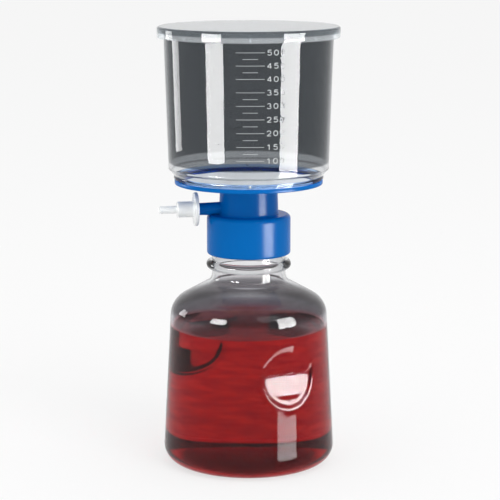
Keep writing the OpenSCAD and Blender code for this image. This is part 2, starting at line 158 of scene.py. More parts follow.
def pressed(grid, inset):
    """Presses the grips in. Each is a ball's cut, c cos b - sqrt(R^2 - (c sin b)^2 - (z - z0)^2) at
    the turn b from the grip, with two flats x / cos b across it that meet in a level edge. The
    floor, which lies within grip_inner of the axis, is left as it is."""
    radius = np.hypot(grid[..., 0], grid[..., 1])
    turn = np.arctan2(grid[..., 1], grid[..., 0])
    ball = grip_ball + inset
    centre = wall_radius(grip_z) - grip_depth + grip_ball
    rise = grid[..., 2] - grip_edge
    flat = wall_radius(grip_z) - flat_depth - inset + flat_slope * np.abs(rise)
    for angle in np.radians(grip_angles):
        b = (turn - angle + np.pi) % (2 * np.pi) - np.pi
        under = ball**2 - (centre * np.sin(b)) ** 2 - (grid[..., 2] - grip_z) ** 2
        hit = (under > 0) & (np.abs(b) < 1)
        near = centre * np.cos(b) - np.sqrt(np.maximum(under, 0))
        near = -lesser(-near, -flat / np.cos(np.clip(b, -1, 1)), flat_soft)
        pushed = lesser(radius, np.where(hit, near, 1.0), grip_soft)
        radius = np.where(radius > grip_inner, pushed, radius)
    out = grid.copy()
    out[..., 0], out[..., 1] = radius * np.cos(turn), radius * np.sin(turn)
    return out


def threaded(grid, low, root_r, height, turns=thread_turns):
    """Raises a right-hand thread on the rows near root_r: its height at a turn a and level z is a
    trapezoid of z - low - pitch a / 2 pi, faded in and out over thread_fade at its ends."""
    turn = np.arctan2(grid[..., 1], grid[..., 0]) % (2 * np.pi)
    radius = np.hypot(grid[..., 0], grid[..., 1])
    on_root = np.abs(radius - root_r) < 0.01 * mm
    for lap in range(int(np.ceil(turns)) + 1):
        a = turn + 2 * np.pi * lap
        off = np.abs(grid[..., 2] - low - thread_pitch * a / (2 * np.pi))
        flank = np.clip((thread_foot - off) / thread_flank, 0, 1)
        end = np.clip(np.minimum(a, 2 * np.pi * turns - a) / thread_fade, 0, 1)
        radius = radius + np.where(on_root, height * flank * end, 0)
    out = grid.copy()
    out[..., 0], out[..., 1] = radius * np.cos(turn), radius * np.sin(turn)
    return out


def turns_about(grips, coarse, fine, half=30):
    """Angles round the axis in radians: coarse steps, and fine ones within half degrees of a grip."""
    low, high = grips[0] - half, grips[0] + half
    span = np.concatenate([np.arange(low, high, fine), np.arange(high, grips[1] - half, coarse)])
    return np.radians(np.concatenate([span, span + 180]))


round_bottle = turns_about(grip_angles, 2, 1)
bead_half = np.degrees(np.arccos((bead_r - bead_out) / bead_r))
bead = arc(neck_r + bead_out - bead_r, bead_z, bead_r, -bead_half, bead_half, 16)
outside = bottle_outline(0, 48)
inside = bottle_outline(bottle_wall, 48)
rim_round = 0.5 * mm
thread_rows = line((neck_r, thread_low - 1.2 * mm), (neck_r, bottle_h - 3.4 * mm), 42)
shell = profile(
    outside, bead, thread_rows,
    arc(neck_r - rim_round, bottle_h - rim_round, rim_round, 0, 90, 5),
    arc(neck_r - bottle_wall + rim_round, bottle_h - rim_round, rim_round, 90, 180, 5),
    line((neck_r - bottle_wall, bottle_h - 3 * mm), inside[-1], 6)[:-1], inside[::-1])
outer_rows = len(outside)
grid = turned(shell, round_bottle)
grid[:outer_rows] = pressed(grid[:outer_rows], 0)
grid[-len(inside):] = pressed(grid[-len(inside):], bottle_wall)
grid = threaded(grid, thread_low, neck_r, thread_out)
bottle = skin("receiver_bottle", grid)


def material(name, **settings):
    """A material with one Principled shader, whose sockets are set by name, with _ for a space."""
    made = bpy.data.materials.new(name)
    made.use_nodes = True
    shader = made.node_tree.nodes["Principled BSDF"]
    for key, value in settings.items():
        socket = shader.inputs[key.replace("_", " ")]
        socket.default_value = (*value, 1) if key.endswith("Color") else value
    return made, made.node_tree, shader


def soft_noise(tree, size, stretch, detail):
    """A noise from 0 to 1 on the piece's own coordinates, in patches of about size metres."""
    place = tree.nodes.new("ShaderNodeTexCoord")
    scaled = tree.nodes.new("ShaderNodeMapping")
    scaled.inputs["Scale"].default_value = stretch
    noise = tree.nodes.new("ShaderNodeTexNoise")
    noise.inputs["Scale"].default_value = 1 / size
    noise.inputs["Detail"].default_value = detail
    tree.links.new(place.outputs["Object"], scaled.inputs["Vector"])
    tree.links.new(scaled.outputs["Vector"], noise.inputs["Vector"])
    return noise.outputs["Fac"]


def moulded(tree, shader, size, depth, stretch=(1, 1, 1), detail=2.0):
    """Bump from a soft noise: bumps of about size metres across and depth metres deep."""
    bump = tree.nodes.new("ShaderNodeBump")
    bump.inputs["Distance"].default_value = depth
    tree.links.new(soft_noise(tree, size, stretch, detail), bump.inputs["Height"])
    tree.links.new(bump.outputs["Normal"], shader.inputs["Normal"])


def smoky(tree, colour, density):
    """Absorption inside the piece: per metre, density times what the colour lacks of white."""
    absorb = tree.nodes.new("ShaderNodeVolumeAbsorption")
    absorb.inputs["Color"].default_value = (*colour, 1)
    absorb.inputs["Density"].default_value = density
    tree.links.new(absorb.outputs["Volume"], tree.nodes["Material Output"].inputs["Volume"])


floor_top = 6 * mm


def tinted(piece, stops, floor_r=0.0):
    """Colours a clear piece by height, where each stop is a height in metres and a colour. Some stops
    hold the plastic's own colour, others painted shade and painted light. The floor within floor_r takes
    the first stop's colour, and all else that of the second or above."""
    points = np.empty(3 * len(piece.data.vertices))
    piece.data.vertices.foreach_get("co", points)
    x, y, z = points.reshape(-1, 3).T
    heights = [height for height, _ in stops]
    z = np.where((np.hypot(x, y) < floor_r) & (z < floor_top), heights[0], np.maximum(z, heights[1]))
    colour = [np.interp(z, heights, [tone[i] for _, tone in stops]) for i in range(3)]
    tint_and_painted_light = piece.data.attributes.new("tint_and_painted_light", "FLOAT_COLOR", "POINT")
    tint_and_painted_light.data.foreach_set("color", np.stack([*colour, 1 + 0 * z], 1).ravel())


def through_tint(tree, shader):
    """Takes the plastic's colour, partly its own and partly painted shade and light, from its piece."""
    read = tree.nodes.new("ShaderNodeAttribute")
    read.attribute_name = "tint_and_painted_light"
    tree.links.new(read.outputs["Color"], shader.inputs["Base Color"])


bottle_clear, tree, shader = material(
    "bottle_polystyrene", Roughness=0.008, IOR=1.2, Specular_IOR_Level=0.25, Transmission_Weight=1.0)
moulded(tree, shader, 18 * mm, 0.12 * mm, stretch=(1, 1, 0.5))
through_tint(tree, shader)
# The wall by the medium takes some of its red; the floor's middle and the shoulder are painted dark as
# painted shade
painted_shade_floor, wet_wall, painted_shade_shoulder = (0.03, 0.02, 0.02), (0.9, 0.4, 0.43), (0.2, 0.19, 0.205)
tinted(bottle, [
    (0, painted_shade_floor), (1 * mm, wet_wall), (81.5 * mm, wet_wall),
    (84 * mm, (0.7, 0.62, 0.66)), (88 * mm, (0.6, 0.6, 0.63)),
    (91 * mm, painted_shade_shoulder), (102 * mm, painted_shade_shoulder), (107 * mm, (0.98, 0.98, 0.99))],
    floor_r=29 * mm)
# The grey absorption darkens the plastic where a ray crosses much of it, as painted shade
smoky(tree, (0.4, 0.42, 0.43), 95)
bottle.data.materials.append(bottle_clear)
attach(bottle, "receiver")
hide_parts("bottle")

# ---------------------------------------------------------------------------
# Medium. Clear red liquid that fills the bottle nearly to the shoulder, with a
# meniscus where it climbs the wall and fine bubbles left by filling.

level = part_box("medium")[1].z
wetting = 0.3 * mm
climb, climb_w = 1.1 * mm, 2.0 * mm
wet = bottle_outline(bottle_wall - wetting, 48)
wet = wet[wet[:, 1] < level + climb]
edge_r = np.interp(level + climb, [heel_r, wall_top], [base_r, top_r]) - bottle_wall + wetting
surface_r = edge_r - np.geomspace(0.02 * mm, edge_r, 26)
surface_z = level + climb * np.exp(-(edge_r - surface_r) / climb_w)
top = np.stack([surface_r, surface_z], 1)
top[-1] = (0, level)
grid = turned(profile(wet, (edge_r, level + climb), top), round_bottle)
wet_rows = len(wet) + 1
grid[:wet_rows] = pressed(grid[:wet_rows], bottle_wall - wetting)
medium = skin("red_medium", grid)
red, tree, shader = material(
    "red_medium", Base_Color=(1.0, 0.98, 0.98), Roughness=0.0, IOR=1.34, Specular_IOR_Level=0.15,
    Transmission_Weight=1.0)
smoky(tree, (0.84, 0.02, 0.13), 52)
# The base colour is streaked lighter and darker by a noise: painted light and shade standing in for
# refraction in the liquid
painted_refraction_noise = soft_noise(tree, 16 * mm, stretch=(1, 1, 5), detail=5.0)
painted_refraction_streaks = tree.nodes.new("ShaderNodeValToRGB")
painted_refraction_streaks.color_ramp.elements[0].position = 0.38
painted_refraction_streaks.color_ramp.elements[0].color = (0.72, 0.6, 0.8, 1)
painted_refraction_streaks.color_ramp.elements[1].position = 0.62
painted_refraction_streaks.color_ramp.elements[1].color = (1.0, 1.0, 0.75, 1)
tree.links.new(painted_refraction_noise, painted_refraction_streaks.inputs["Fac"])
tree.links.new(painted_refraction_streaks.outputs["Color"], shader.inputs["Base Color"])
medium.data.materials.append(red)
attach(medium, "receiver")
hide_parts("medium")

# ---------------------------------------------------------------------------
# Bubbles. A few pockets of air left against the wall when the medium was poured.

rng = np.random.default_rng(4)


def ball_grid(centre, radius, rows=9, cols=12):
    """A ball: z = R cos v, with the circle of radius R sin v at each height."""
    v = np.linspace(0, np.pi, rows)
    outline = np.stack([radius * np.sin(v), radius * np.cos(v)], 1)
    outline[[0, -1], 0] = 0
    return turned(outline, np.linspace(0, 2 * np.pi, cols, endpoint=False)) + centre


bubble_count, bubble_side = 26, -128
bubble_turn = np.radians(rng.normal(bubble_side, 9, bubble_count))
bubble_z = level - 1.5 * mm - rng.gamma(2.0, 6.5 * mm, bubble_count)
bubble_r = rng.uniform(0.25 * mm, 0.55 * mm, bubble_count)
bubble_from = wall_radius(bubble_z) - bottle_wall - bubble_r - 0.1 * mm
bubble_at = np.stack([bubble_from * np.cos(bubble_turn), bubble_from * np.sin(bubble_turn), bubble_z], 1)
bubbles = skin("bubbles", *[ball_grid(at, r) for at, r in zip(bubble_at, bubble_r)])
air = material(
    "trapped_air", Base_Color=(1.0, 0.93, 0.92), Roughness=0.0, IOR=1.2, Transmission_Weight=1.0)[0]
bubbles.data.materials.append(air)
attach(bubbles, "receiver")

# ---------------------------------------------------------------------------
# Neck seal. A flat ring of soft white rubber, clamped between the bottle's rim and
# the adapter's roof.

seal_low, seal_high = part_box("bottle_seal")
seal_in, seal_out, seal_round = 17.6 * mm, seal_high.x, 0.3 * mm
around = np.linspace(0, 2 * np.pi, 180, endpoint=False)
section = profile(
    arc(seal_out - seal_round, seal_low.z + seal_round, seal_round, -90, 0, 5),
    arc(seal_out - seal_round, seal_high.z - seal_round, seal_round, 0, 90, 5),
    arc(seal_in + seal_round, seal_high.z - seal_round, seal_round, 90, 180, 5),
    arc(seal_in + seal_round, seal_low.z + seal_round, seal_round, 180, 270, 5))
seal = skin("neck_seal", turned(section, around), closed=True)
rubber, tree, shader = material("white_rubber", Base_Color=(0.78, 0.77, 0.74), Roughness=0.55)
moulded(tree, shader, 0.5 * mm, 0.02 * mm)
seal.data.materials.append(rubber)
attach(seal, "seal_ring")
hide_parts("bottle_seal")

# ---------------------------------------------------------------------------
# Blue adapter. One opaque polystyrene moulding: a threaded skirt, a collar, the ribbed
# drain plate under the membrane, the spout, and the stepped arm for the vacuum tubing.

adapter_low, adapter_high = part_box("adapter")
plate_r, plate_top = adapter_high.x, adapter_high.z - 0.8 * mm
plate_low, lip_w, under_step = plate_top - 1.5 * mm, 1.2 * mm, 2.4 * mm
skirt_bore, skirt_r = 22.8 * mm, 24.35 * mm
skirt_low, skirt_top = bottle_h - 19.3 * mm, bottle_h + 3.9 * mm
roof_z, collar_low_r, collar_top_r, collar_bore = bottle_h + 1.2 * mm, 17.2 * mm, 16.8 * mm, 15.4 * mm
drain_r, drain_fall = 36.9 * mm, 2.5 / 33.9
spout_r, spout_bore, spout_low = 4.5 * mm, 3 * mm, adapter_low.z


def drain_z(r):
    """Height of the drain cone, half a millimetre below the plate at its edge."""
    return plate_top - 0.5 * mm - drain_fall * (drain_r - r)


skirt_thread = line((skirt_bore, roof_z - 2 * mm), (skirt_bore, roof_z - 13.2 * mm), 56)
section = profile(
    (spout_bore, spout_low), line((spout_bore, drain_z(spout_bore)), (drain_r, drain_z(drain_r)), 12),
    arc(drain_r + 0.2 * mm, plate_top - 0.2 * mm, 0.2 * mm, 180, 90, 4), (plate_r - lip_w, plate_top),
    arc(plate_r - lip_w + 0.25 * mm, plate_top + 0.55 * mm, 0.25 * mm, 180, 90, 4),
    arc(plate_r - 0.3 * mm, plate_top + 0.5 * mm, 0.3 * mm, 90, 0, 4),
    arc(plate_r - 0.5 * mm, plate_low + 0.5 * mm, 0.5 * mm, 0, -90, 6),
    (plate_r - under_step, plate_low),
    line((plate_r - under_step - 0.6 * mm, plate_low - 0.1 * mm),
         (collar_top_r + 2 * mm, drain_z(collar_top_r) - 1.35 * mm), 6),
    arc(collar_top_r + 1.6 * mm, drain_z(collar_top_r) - 3.1 * mm, 1.6 * mm, 100, 180, 8),
    line((collar_top_r, drain_z(collar_top_r) - 4 * mm), (collar_low_r, skirt_top + 1.4 * mm), 14),
    arc(collar_low_r + 1.2 * mm, skirt_top + 1.2 * mm, 1.2 * mm, 180, 270, 8),
    line((collar_low_r + 1.6 * mm, skirt_top), (skirt_r - 3 * mm, skirt_top), 3),
    arc(skirt_r - 2.6 * mm, skirt_top - 2.6 * mm, 2.6 * mm, 90, 0, 12),
    line((skirt_r, skirt_top - 4 * mm), (skirt_r, skirt_low + 2 * mm), 6),
    arc(skirt_r - 1.2 * mm, skirt_low + 1.2 * mm, 1.2 * mm, 0, -90, 8),
    arc(skirt_bore + 0.3 * mm, skirt_low + 0.3 * mm, 0.3 * mm, 270, 180, 4),
    skirt_thread[::-1], arc(skirt_bore - 0.4 * mm, roof_z - 0.4 * mm, 0.4 * mm, 0, 90, 4),
    arc(collar_bore + 0.3 * mm, roof_z + 0.3 * mm, 0.3 * mm, 270, 180, 4),
    line((collar_bore, roof_z + 1 * mm), (collar_bore, drain_z(collar_bore) - 1.6 * mm), 3),
    line((collar_bore - 0.6 * mm, drain_z(collar_bore) - 1.5 * mm),
         (spout_r + 0.4 * mm, drain_z(spout_r) - 1.5 * mm), 6),
    line((spout_r, drain_z(spout_r) - 2 * mm), (spout_r, spout_low + 0.3 * mm), 3),
    arc(spout_r - 0.3 * mm, spout_low + 0.3 * mm, 0.3 * mm, 0, -90, 4))
body = threaded(turned(section, around), thread_low - 1.5 * mm, skirt_bore, -0.9 * mm)

arm_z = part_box("tubing_adapter")[0].z + 9.75 * mm
arm_root, arm_step, arm_end = 15.9 * mm, 29.7 * mm, 39.2 * mm


def along_arm(outline, angles):
    """An outline of (radius, way out) turned about the arm's axis, which points along -X."""
    r, out = outline[:, :1], outline[:, 1:]
    return np.stack([-out + 0 * angles, -r * np.sin(angles), arm_z + r * np.cos(angles)], 2)


round_arm = np.linspace(0, 2 * np.pi, 64, endpoint=False)
arm = along_arm(profile(
    (2 * mm, arm_root), (5.1 * mm, arm_root), arc(5.1 * mm, 17.4 * mm, 1.2 * mm, -90, -180, 7),
    line((3.88 * mm, 18 * mm), (3.51 * mm, arm_step - 0.6 * mm), 10),
    arc(3.25 * mm, arm_step - 0.25 * mm, 0.25 * mm, 0, 90, 4), (3.1 * mm, arm_step),
    line((3.1 * mm, arm_step + 0.3 * mm), (3.1 * mm, arm_end - 0.6 * mm), 4),
    arc(2.8 * mm, arm_end - 0.3 * mm, 0.3 * mm, 0, 90, 4), (2 * mm, arm_end)), round_arm)


def rib_grid(angle, inner, outer):
    """A radial rib on the drain cone: a rounded bar whose foot follows the cone, with closed ends."""
    way = np.linspace(inner, outer, 5)
    half, top = 0.4 * mm, plate_top
    across = np.array([
        [-half, 0], [-half, 0.75], [-0.6 * half, 1], [0.6 * half, 1], [half, 0.75], [half, 0]])
    low = drain_z(way)[:, None] - 0.05 * mm
    z = low + (top - low) * across[:, 1]
    side = np.tile(across[:, 0], (len(way), 1))
    out = np.tile(way[:, None], (1, len(across)))
    rib = np.stack([out * np.cos(angle) - side * np.sin(angle),
                    out * np.sin(angle) + side * np.cos(angle), z], 2)
    ends = rib[[0, -1]].mean(1, keepdims=True) + 0 * rib[[0, -1]]
    return np.concatenate([ends[:1], rib, ends[1:]])


rib_count, rib_inner = 48, (9 * mm, drain_r / 2)
ribs = [rib_grid(2 * np.pi * i / rib_count, rib_inner[i % 2], drain_r + 0.1 * mm)
        for i in range(rib_count)]
adapter = skin("blue_adapter", body, closed=True)
adapter_arm = skin("blue_arm", arm, closed=True)
drain_ribs = skin("drain_ribs", *ribs)
blue, tree, shader = material(
    "blue_polystyrene", Base_Color=(0.0, 0.125, 0.43), Roughness=0.23, Specular_IOR_Level=0.05,
    Subsurface_Weight=0.05, Subsurface_Radius=(0.1, 0.3, 1.0), Subsurface_Scale=1 * mm)
moulded(tree, shader, 6 * mm, 0.05 * mm, detail=4.0)
for piece in (adapter, adapter_arm, drain_ribs):
    piece.data.materials.append(blue)
    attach(piece, "filter_head")
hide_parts("adapter")

# ---------------------------------------------------------------------------
# Cotton plug. Fibre pushed into the arm's bore, where it keeps the bottle sterile.

plug_low, plug_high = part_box("vacuum_plug")
plug_in, plug_out = -plug_high.x, -plug_low.x
plug = skin("cotton_plug", along_arm(profile(
    (0, plug_in), line((0.4 * mm, plug_in), (1.5 * mm, plug_in + 0.1 * mm), 5),
    arc(1.4 * mm, plug_in + 0.7 * mm, 0.6 * mm, -80, 0, 5),
    arc(1.4 * mm, plug_out - 0.7 * mm, 0.6 * mm, 0, 80, 5),
    line((1.5 * mm, plug_out - 0.1 * mm), (0.4 * mm, plug_out), 5), (0, plug_out)), round_arm))
cotton, tree, shader = material("cotton", Base_Color=(0.86, 0.85, 0.81), Roughness=0.9, Sheen_Weight=0.3)
moulded(tree, shader, 0.25 * mm, 0.12 * mm, detail=6.0)
plug.data.materials.append(cotton)
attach(plug, "filter_head")
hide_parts("vacuum_plug")

# ---------------------------------------------------------------------------
# Filter membrane. A thin white disc of porous plastic, laid on the drain ribs and
# welded under the chamber's foot; it dips slightly between the ribs.

sheet_low, sheet_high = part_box("membrane")
sheet_r, sheet_top, sheet_t = sheet_high.x, sheet_high.z, sheet_high.z - sheet_low.z
disc_r = np.linspace(0, sheet_r, 60)
face = turned(np.stack([disc_r, 0 * disc_r + sheet_top], 1), around)
dip = 0.12 * mm * np.sin(rib_count / 2 * around) ** 2
dip = dip * np.clip(disc_r / (10 * mm) - 1, 0, 1)[:, None]
dip = dip * np.clip((drain_r - disc_r) / (2 * mm), 0, 1)[:, None]
face[..., 2] -= dip
under = face[::-1].copy()
under[..., 2] -= sheet_t
sheet = skin("filter_membrane", np.concatenate([face, under]))
paper, tree, shader = material("membrane_film", Base_Color=(0.96, 0.965, 0.97), Roughness=0.62)
moulded(tree, shader, 0.35 * mm, 0.012 * mm, detail=6.0)
sheet.data.materials.append(paper)
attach(sheet, "filter_head")
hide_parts("membrane")

# ---------------------------------------------------------------------------
# Chamber. Injection-moulded clear polystyrene with a rolled rim. Its wall is painted dark, and a grey
# absorption darkens it further: painted shade. Its foot is clear with a ring at its corner painted
# darker as painted shade, and below the flange it is painted with the blue of the plate to which it is
# welded, a painted reflection.

chamber_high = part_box("chamber")[1]
rim_z, rim_r, rim_t, chamber_wall = chamber_high.z, chamber_high.x, 1.8 * mm, 1.5 * mm
foot_r, foot_in, flange_r = 41.5 * mm, 37.7 * mm, 43.3 * mm
flange_low, flange_top = plate_top + 1.6 * mm, plate_top + 3.5 * mm
corner_r, corner_z, chamber_top_r = 46.3 * mm, plate_top + 7.6 * mm, 48.75 * mm
chamber_lean = (chamber_top_r - corner_r) / (rim_z - rim_t - corner_z)
painted_shade_z = corner_z + 5 * mm


def chamber_radius(z):
    """The straight taper of the chamber's outside."""
    return corner_r + (z - corner_z) * chamber_lean


def lit_through(tree, shader, colour):
    """Lets the lamps light what is behind the clear piece, in the colour given."""
    path = tree.nodes.new("ShaderNodeLightPath")
    clear = tree.nodes.new("ShaderNodeBsdfTransparent")
    clear.inputs["Color"].default_value = (*colour, 1)
    either = tree.nodes.new("ShaderNodeMixShader")
    tree.links.new(path.outputs["Is Shadow Ray"], either.inputs["Fac"])
    tree.links.new(shader.outputs[0], either.inputs[1])
    tree.links.new(clear.outputs[0], either.inputs[2])
    tree.links.new(either.outputs[0], tree.nodes["Material Output"].inputs["Surface"])


section = profile(
    (foot_r, plate_top), (foot_r, flange_low - 0.2 * mm), (foot_r + 0.2 * mm, flange_low),
    arc(flange_r - 0.4 * mm, flange_low + 0.4 * mm, 0.4 * mm, -90, 0, 5),
    arc(flange_r - 0.4 * mm, flange_top - 0.2 * mm, 0.4 * mm, 0, 55, 4),
    line((flange_r, flange_top + 0.3 * mm), (corner_r - 0.7 * mm, corner_z - 0.95 * mm), 14),
    arc(corner_r - 0.8 * mm, corner_z + 0.1 * mm, 0.85 * mm, -36, 2, 6),
    line((chamber_radius(corner_z + 1 * mm), corner_z + 1 * mm), (chamber_radius(painted_shade_z), painted_shade_z), 10),
    line((chamber_radius(painted_shade_z + 2 * mm), painted_shade_z + 2 * mm),
         (chamber_radius(rim_z - rim_t - 0.8 * mm), rim_z - rim_t - 0.8 * mm), 36),
    arc(chamber_top_r + 0.6 * mm, rim_z - rim_t - 0.6 * mm, 0.6 * mm, 180, 90, 5),
    arc(rim_r - 0.5 * mm, rim_z - rim_t + 0.5 * mm, 0.5 * mm, -90, 0, 6),
    arc(rim_r - 0.5 * mm, rim_z - 0.5 * mm, 0.5 * mm, 0, 90, 6),
    arc(chamber_radius(rim_z) - chamber_wall + 0.4 * mm, rim_z - 0.4 * mm, 0.4 * mm, 90, 180, 6),
    line((chamber_radius(rim_z - 1 * mm) - chamber_wall, rim_z - 1 * mm),
         (chamber_radius(painted_shade_z) - chamber_wall, painted_shade_z), 36),
    line((chamber_radius(painted_shade_z - 0.5 * mm) - chamber_wall, painted_shade_z - 0.5 * mm),
         (corner_r - chamber_wall, corner_z), 10),
    line((corner_r - chamber_wall - 0.4 * mm, corner_z - 0.5 * mm),
         (flange_r - chamber_wall, flange_top), 14),
    line((flange_r - chamber_wall - 0.3 * mm, flange_top - 0.1 * mm),
         (drain_r + 0.3 * mm, sheet_top + chamber_wall), 6),
    (drain_r, sheet_top + chamber_wall - 0.2 * mm), (drain_r, sheet_top + 0.01 * mm),
    (foot_in, sheet_top + 0.01 * mm), (foot_in, plate_top))
chamber = skin("chamber", turned(section, around), closed=True)
painted_dark_plastic, tree, shader = material("clear_polystyrene_painted_dark", Roughness=0.005, IOR=1.2, Transmission_Weight=1.0)
moulded(tree, shader, 25 * mm, 0.012 * mm, stretch=(1, 1, 0.15))
through_tint(tree, shader)
# The blue foot is a painted reflection of the plate; the darker corner ring and the dark wall are
# painted shade
painted_plate_reflection, clear_foot = (0.4, 0.59, 0.91), (0.97, 0.98, 0.99)
painted_corner_shade, painted_wall_shade = (0.55, 0.56, 0.58), (0.27, 0.285, 0.3)
tinted(chamber, [
    (0, painted_plate_reflection), (flange_top - 0.1 * mm, painted_plate_reflection), (flange_top + 0.3 * mm, clear_foot),
    (corner_z - 1.4 * mm, clear_foot), (corner_z - 1.1 * mm, painted_corner_shade),
    (corner_z - 0.5 * mm, painted_corner_shade), (corner_z - 0.1 * mm, clear_foot),
    (corner_z + 3.2 * mm, clear_foot), (corner_z + 3.9 * mm, painted_wall_shade)])
# The grey absorption darkens the wall further, as painted shade
smoky(tree, (0.4, 0.41, 0.42), 90)
lit_through(tree, shader, (0.85, 0.85, 0.85))
chamber.data.materials.append(painted_dark_plastic)
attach(chamber, "filter_head")
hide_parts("chamber")

# ---------------------------------------------------------------------------
# Graduations. Frosted ridges and figures raised on the chamber's wall, in millilitres,
# once at the front and once at the back, and the rough scars of the two gates below them.

scale_turn, ridge_h, ridge_w = -98, 0.2 * mm, 0.27 * mm
scale_z0 = plate_top + 1.6 * mm
scale_r0 = chamber_radius(scale_z0) - chamber_wall


def level_of(volume):
    """Height of a volume in millilitres: the inside is a cone, so the cube of its radius grows
    by three times the lean times the volume over pi."""
    cube = 3 * chamber_lean * volume * 1e-6 / np.pi + scale_r0**3
    return scale_z0 + (np.cbrt(cube) - scale_r0) / chamber_lean


def ridge(path, centre, width, height):
    """A raised line on the wall. The path runs in (way round, height); a low trapezoid is carried
    along it, and each point then goes to the angle way / radius on the chamber's taper."""
    path = np.asarray(path, float)
    ahead = np.gradient(path, axis=0)
    ahead = ahead / np.linalg.norm(ahead, axis=1, keepdims=True)
    side = np.stack([-ahead[:, 1], ahead[:, 0]], 1)
    shape = np.array([[-0.5, -0.3], [-0.42, 0.7], [-0.25, 1], [0.25, 1], [0.42, 0.7], [0.5, -0.3]])
    flat = path[:, None] + side[:, None] * shape[:, :1] * width
    r = chamber_radius(flat[..., 1])
    a = np.radians(centre) + flat[..., 0] / r
    out = r + shape[:, 1] * height
    rows = np.stack([out * np.cos(a), out * np.sin(a), flat[..., 1]], 2)
    tips = rows[[0, -1]].mean(1, keepdims=True) + 0 * rows[[0, -1]]
    return np.concatenate([tips[:1], rows, tips[1:]])


def oval(x, y, a, b, start, end, n):
    """n points on an oval of half axes a and b about (x, y), between two angles in degrees."""
    t = np.radians(np.linspace(start, end, n))
    return np.stack([x + a * np.cos(t), y + b * np.sin(t)], 1)


# Each figure is drawn with one or two strokes in a box 0.62 wide and 1 high
figures = {
    "0": [oval(0.31, 0.5, 0.31, 0.5, 90, 455, 22)],
    "1": [profile(line((0.12, 0.78), (0.36, 0.99), 3), line((0.37, 0.95), (0.37, 0), 4))],
    "2": [profile(oval(0.31, 0.7, 0.29, 0.3, 165, -35, 10), line((0.5, 0.45), (0.02, 0.02), 4),
                  line((0.1, 0), (0.62, 0), 3))],
    "3": [profile(oval(0.29, 0.74, 0.26, 0.26, 150, -80, 9),
                  oval(0.29, 0.26, 0.31, 0.26, 75, -155, 10))],
    "4": [profile(line((0.62, 0.28), (0.02, 0.28), 4), line((0.03, 0.33), (0.44, 0.98), 4)),
          line((0.46, 1), (0.46, 0), 4)],
    "5": [profile(line((0.56, 1), (0.12, 1), 3), line((0.1, 0.96), (0.06, 0.56), 3),
                  oval(0.29, 0.33, 0.31, 0.32, 135, -150, 12))],
}
figure_h, figure_pitch, figure_w = 2.8 * mm, 3.9 * mm, 0.42 * mm
strokes = []
for centre in (scale_turn, scale_turn + 180):
    for volume in range(100, 501, 25):
        if volume != 375:
            z = level_of(volume)
            half = np.radians(9.5 if volume % 50 == 0 else 5) * chamber_radius(z)
            strokes.append(ridge(line((-half, z), (half, z), 16), centre, ridge_w, ridge_h))
    for volume in range(100, 501, 50):
        start = np.radians(11.3) * chamber_radius(level_of(volume))
        for place, figure in enumerate(str(volume)):
            corner = (start + place * figure_pitch, level_of(volume) - figure_h / 2)
            strokes += [ridge(stroke * (1.35 * figure_h, figure_h) + corner, centre, figure_w, ridge_h)
                        for stroke in figures[figure]]
graduations = skin("graduations", *strokes)
frosted, tree, shader = material(
    "frosted_polystyrene", Base_Color=(0.42, 0.44, 0.44), Roughness=0.55, Specular_IOR_Level=0.3)
moulded(tree, shader, 0.2 * mm, 0.02 * mm)
gates = [np.array([flange_r * np.cos(a), flange_r * np.sin(a), flange_low + 0.9 * mm])
         for a in np.radians([scale_turn, scale_turn + 180])]
gate_scars = skin("gate_scars", *[ball_grid(gate, 0.75 * mm) for gate in gates])
for piece in (graduations, gate_scars):
    piece.data.materials.append(frosted)
    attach(piece, "filter_head")

# ---------------------------------------------------------------------------
# Lid. A shallow cap of hazy clear polystyrene that drops over the rim, centred by eight
# small ribs inside its skirt. Its skirt is nearly clear near its lower edge, and is painted dark
# above that and on its top as painted shade, which a grey absorption deepens.

lid_low, lid_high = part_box("lid")
lid_bore, lid_r = 51.3 * mm, lid_high.x
lid_z0, lid_top, lid_under = lid_low.z, lid_high.z, lid_high.z - 1.4 * mm
section = profile(
    line((0, lid_under), (lid_bore - 0.4 * mm, lid_under), 16),
    arc(lid_bore - 0.4 * mm, lid_under - 0.4 * mm, 0.4 * mm, 90, 0, 5),
    line((lid_bore, lid_under - 0.6 * mm), (lid_bore, lid_z0 + 0.4 * mm), 12),
    arc(lid_bore + 0.3 * mm, lid_z0 + 0.3 * mm, 0.3 * mm, 180, 270, 4),
    arc(lid_r - 0.4 * mm, lid_z0 + 0.4 * mm, 0.4 * mm, -90, 0, 5),
    line((lid_r, lid_z0 + 0.6 * mm), (lid_r, lid_top - 1.4 * mm), 12),
    arc(lid_r - 1.2 * mm, lid_top - 1.2 * mm, 1.2 * mm, 0, 90, 10),
    line((lid_r - 1.6 * mm, lid_top), (0, lid_top), 24))
lid = skin("lid", turned(section, around))


def lid_rib(angle):
    """A small upright half-round bar inside the skirt: a half circle carried up the bore."""
    t = np.radians(np.linspace(100, 260, 9))
    foot = np.stack([lid_bore + 0.1 * mm + 0.55 * mm * np.cos(t), 0.5 * mm * np.sin(t)], 1)
    rise = np.array([lid_z0 + 0.5 * mm, lid_z0 + 0.9 * mm, lid_under])
    thin = np.array([0.2, 1, 1])[:, None]
    x = lid_bore + 0.1 * mm + (foot[:, 0] - lid_bore - 0.1 * mm) * thin
    y = foot[:, 1] * thin
    bar = np.stack([x * np.cos(angle) - y * np.sin(angle), x * np.sin(angle) + y * np.cos(angle),
                    rise[:, None] + 0 * x], 2)
    tips = bar[[0, -1]].mean(1, keepdims=True) + 0 * bar[[0, -1]]
    return np.concatenate([tips[:1], bar, tips[1:]])


